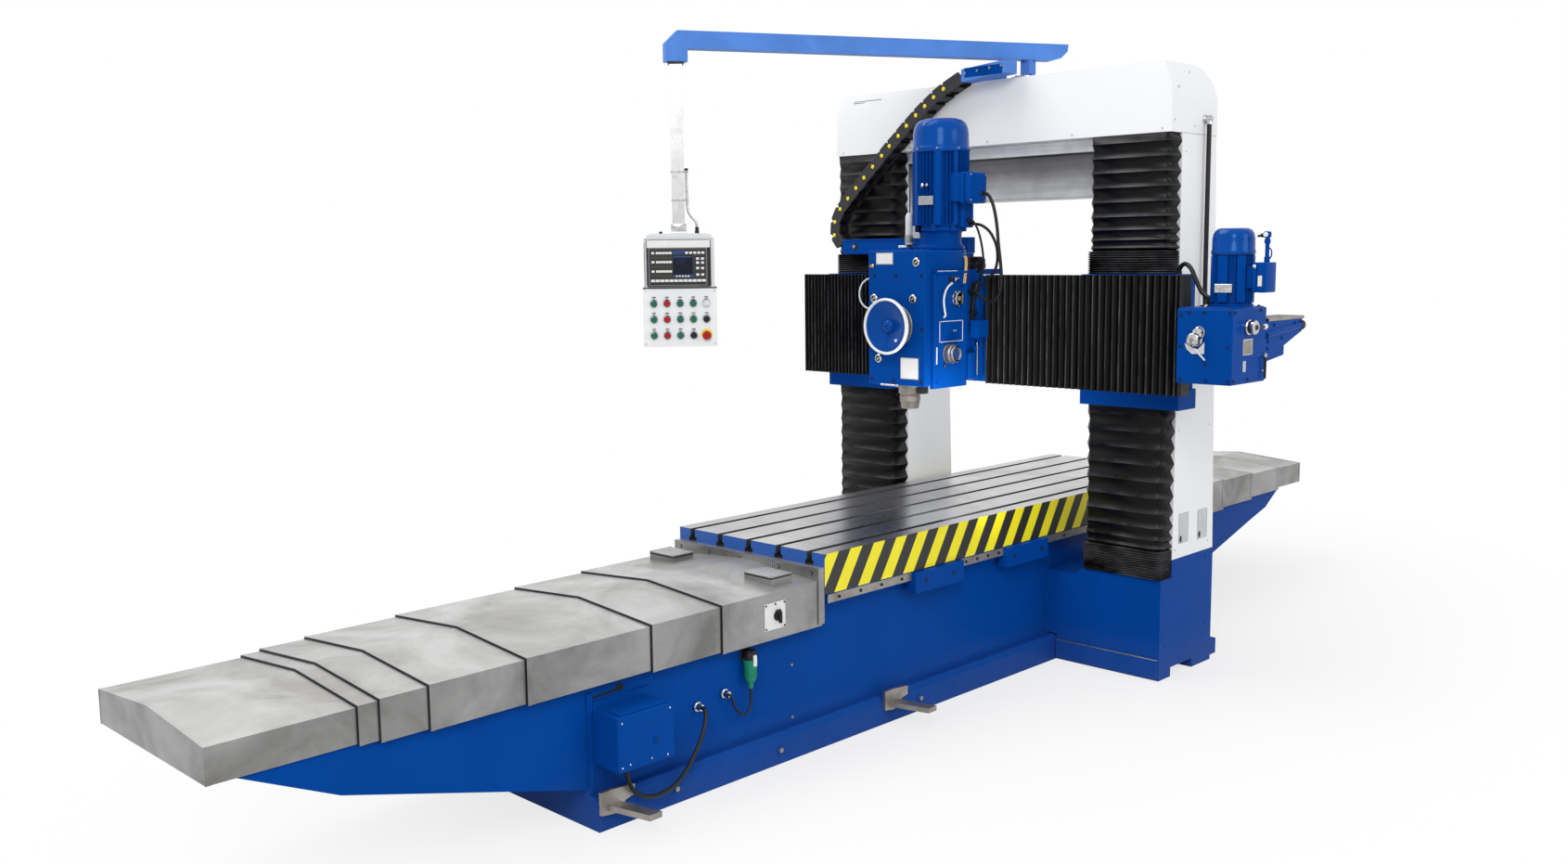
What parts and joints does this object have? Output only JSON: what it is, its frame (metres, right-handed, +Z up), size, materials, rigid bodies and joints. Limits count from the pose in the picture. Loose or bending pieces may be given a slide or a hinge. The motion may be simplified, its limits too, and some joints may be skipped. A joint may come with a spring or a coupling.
{
  "type": "gantry milling machine",
  "caption": "Gantry milling machine: T-slot table under telescopic covers, two columns, a crossrail with a vertical milling head, and a control pendant on a swinging arm.",
  "frame": {"origin": "on the floor, under the table's centre line, in line with the front of the column bases", "axes": "+X across the table to the right as seen from the front, +Y along the table's travel away from the front, +Z up"},
  "size_m": [2.6205, 7.164, 3.075],
  "materials": {
    "blue_paint": "gloss blue machine paint",
    "white_paint": "light grey-white machine paint",
    "ground_steel": "ground",
    "stainless_sheet": "mottled stainless sheet",
    "black_guard": "black folded guard cloth",
    "black_plastic": "black plastic",
    "bright_metal": "bright",
    "green_plastic": "dark green plastic"
  },
  "bodies": {
    "frame": {"bed": "blue_paint", "base_wing_left": "blue_paint", "base_wing_right": "blue_paint", "column_left": "white_paint", "column_right": "white_paint", "top_beam": "ground_steel", "beam_cover": "white_paint", "way_cover_front_1": "stainless_sheet", "way_cover_rear_1": "stainless_sheet", "guard_upper_left": "black_guard", "guard_upper_right": "black_guard", "guard_lower_left": "black_guard", "guard_lower_right": "black_guard", "chain_guide": "blue_paint", "chain_upper": "black_plastic", "arm_post": "blue_paint", "electrical_box": "blue_paint", "conduit": "black_plastic", "conduit_gland": "bright_metal", "lead_gland": "bright_metal", "plug": "green_plastic", "plug_lead": "black_plastic", "lifting_bar_front": "ground_steel", "lifting_bar_rear": "ground_steel", "hose_fitting": "bright_metal", "column_hose": "black_plastic"},
    "table": {"table": "ground_steel", "travel_stops_left": "blue_paint", "travel_stops_right": "blue_paint", "way_cover_front_7": "stainless_sheet", "way_cover_rear_4": "stainless_sheet"},
    "rail": {"crossrail": "blue_paint", "rail_end_plate": "black_plastic", "feed_gearbox": "blue_paint", "feed_motor": "blue_paint", "feed_bracket": "blue_paint", "rail_guard_left": "black_guard", "rail_guard_right": "black_guard", "chain_lower": "black_plastic"},
    "head": {"head_saddle": "blue_paint", "head_gearbox": "blue_paint", "head_motor": "blue_paint", "chain_bar": "blue_paint", "motor_lead": "black_plastic"},
    "spindle": {"spindle": "bright_metal"},
    "handwheel": {"handwheel": "blue_paint"},
    "feed_lever": {"feed_lever": "bright_metal"},
    "arm": {"arm": "blue_paint"},
    "pendant": {"pendant_pole": "bright_metal", "pendant_housing": "white_paint", "pendant_panel": "white_paint", "pendant_screen": "black_plastic"},
    "front_cover_2": {"way_cover_front_2": "stainless_sheet"},
    "front_cover_3": {"way_cover_front_3": "stainless_sheet"},
    "front_cover_4": {"way_cover_front_4": "stainless_sheet"},
    "front_cover_5": {"way_cover_front_5": "stainless_sheet"},
    "front_cover_6": {"way_cover_front_6": "stainless_sheet"},
    "rear_cover_2": {"way_cover_rear_2": "stainless_sheet"},
    "rear_cover_3": {"way_cover_rear_3": "stainless_sheet"}
  },
  "joints": [
    {"name": "table_slide", "type": "slide", "parent": "frame", "child": "table", "axis": [0, 1, 0], "range_m": [-0.75, 0.65]},
    {"name": "front_cover_2_slide", "type": "slide", "parent": "frame", "child": "front_cover_2", "axis": [0, 1, 0], "range_m": [-0.1135, 0.0985]},
    {"name": "front_cover_3_slide", "type": "slide", "parent": "frame", "child": "front_cover_3", "axis": [0, 1, 0], "range_m": [-0.1585, 0.1375]},
    {"name": "front_cover_4_slide", "type": "slide", "parent": "frame", "child": "front_cover_4", "axis": [0, 1, 0], "range_m": [-0.286, 0.248]},
    {"name": "front_cover_5_slide", "type": "slide", "parent": "frame", "child": "front_cover_5", "axis": [0, 1, 0], "range_m": [-0.496, 0.43]},
    {"name": "front_cover_6_slide", "type": "slide", "parent": "frame", "child": "front_cover_6", "axis": [0, 1, 0], "range_m": [-0.541, 0.469]},
    {"name": "rear_cover_2_slide", "type": "slide", "parent": "frame", "child": "rear_cover_2", "axis": [0, 1, 0], "range_m": [-0.3385, 0.2935]},
    {"name": "rear_cover_3_slide", "type": "slide", "parent": "frame", "child": "rear_cover_3", "axis": [0, 1, 0], "range_m": [-0.6197, 0.5373]},
    {"name": "rail_lift", "type": "slide", "parent": "frame", "child": "rail", "axis": [0, 0, 1], "range_m": [-0.45, 0.25], "deforming": ["guard_upper_left", "guard_upper_right", "guard_lower_left", "guard_lower_right", "chain_upper", "column_hose"]},
    {"name": "head_traverse", "type": "slide", "parent": "rail", "child": "head", "axis": [1, 0, 0], "range_m": [-0.6, 0.6], "deforming": ["rail_guard_left", "rail_guard_right", "chain_lower"]},
    {"name": "spindle_spin", "type": "hinge", "parent": "head", "child": "spindle", "pos_m": [-0.016, -0.595, 1.417], "axis": [0, 0, 1], "continuous": true},
    {"name": "handwheel_spin", "type": "hinge", "parent": "head", "child": "handwheel", "pos_m": [-0.016, -0.785, 1.703], "axis": [0, 1, 0], "continuous": true},
    {"name": "feed_lever_turn", "type": "hinge", "parent": "rail", "child": "feed_lever", "pos_m": [1.5, -0.165, 1.715], "axis": [1, 0, 0], "range_deg": [-45, 45]},
    {"name": "arm_swing", "type": "hinge", "parent": "frame", "child": "arm", "pos_m": [0.17, 0.105, 2.995], "axis": [0, 0, 1], "range_deg": [-45, 100]},
    {"name": "pendant_swivel", "type": "hinge", "parent": "arm", "child": "pendant", "pos_m": [-0.69, -1.48, 2.935], "axis": [0, 0, 1], "range_deg": [-90, 90]}
  ],
  "couplings": [
    {"joint": "front_cover_2_slide", "follows": "table_slide", "ratio": 0.15},
    {"joint": "front_cover_3_slide", "follows": "table_slide", "ratio": 0.21},
    {"joint": "front_cover_4_slide", "follows": "table_slide", "ratio": 0.38},
    {"joint": "front_cover_5_slide", "follows": "table_slide", "ratio": 0.66},
    {"joint": "front_cover_6_slide", "follows": "table_slide", "ratio": 0.72},
    {"joint": "rear_cover_2_slide", "follows": "table_slide", "ratio": 0.45},
    {"joint": "rear_cover_3_slide", "follows": "table_slide", "ratio": 0.825}
  ]
}
